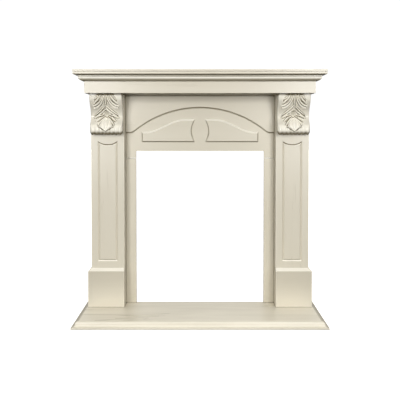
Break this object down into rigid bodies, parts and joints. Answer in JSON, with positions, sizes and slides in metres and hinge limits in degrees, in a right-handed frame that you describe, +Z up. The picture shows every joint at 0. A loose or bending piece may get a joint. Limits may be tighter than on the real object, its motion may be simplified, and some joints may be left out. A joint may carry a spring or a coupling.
{
  "type": "fireplace mantelpiece",
  "caption": "Fireplace surround of ivory painted board: moulded shelf, carved acanthus corbels on panelled pilasters, arched header and a moulded hearth board round an open firebox.",
  "frame": {"origin": "on the floor, under the middle of the hearth board's bounding box", "axes": "+X to the viewer's right along the front, +Y back towards the wall, +Z up"},
  "size_m": [0.974, 0.4, 0.972],
  "materials": {
    "ivory_paint": "satin ivory paint over fine-grained board"
  },
  "bodies": {
    "root": {"hearth": "ivory_paint", "plinth_left": "ivory_paint", "plinth_right": "ivory_paint", "pilaster_front_left": "ivory_paint", "pilaster_front_right": "ivory_paint", "pilaster_inner_side_left": "ivory_paint", "pilaster_inner_side_right": "ivory_paint", "pilaster_outer_side_left": "ivory_paint", "pilaster_outer_side_right": "ivory_paint", "corbel_left": "ivory_paint", "corbel_right": "ivory_paint", "header_panel": "ivory_paint", "jamb_left": "ivory_paint", "jamb_right": "ivory_paint", "soffit": "ivory_paint", "frieze_front": "ivory_paint", "frieze_end_left": "ivory_paint", "frieze_end_right": "ivory_paint", "bed_moulding_front": "ivory_paint", "bed_moulding_left": "ivory_paint", "bed_moulding_right": "ivory_paint", "mantel_shelf": "ivory_paint"}
  },
  "joints": []
}
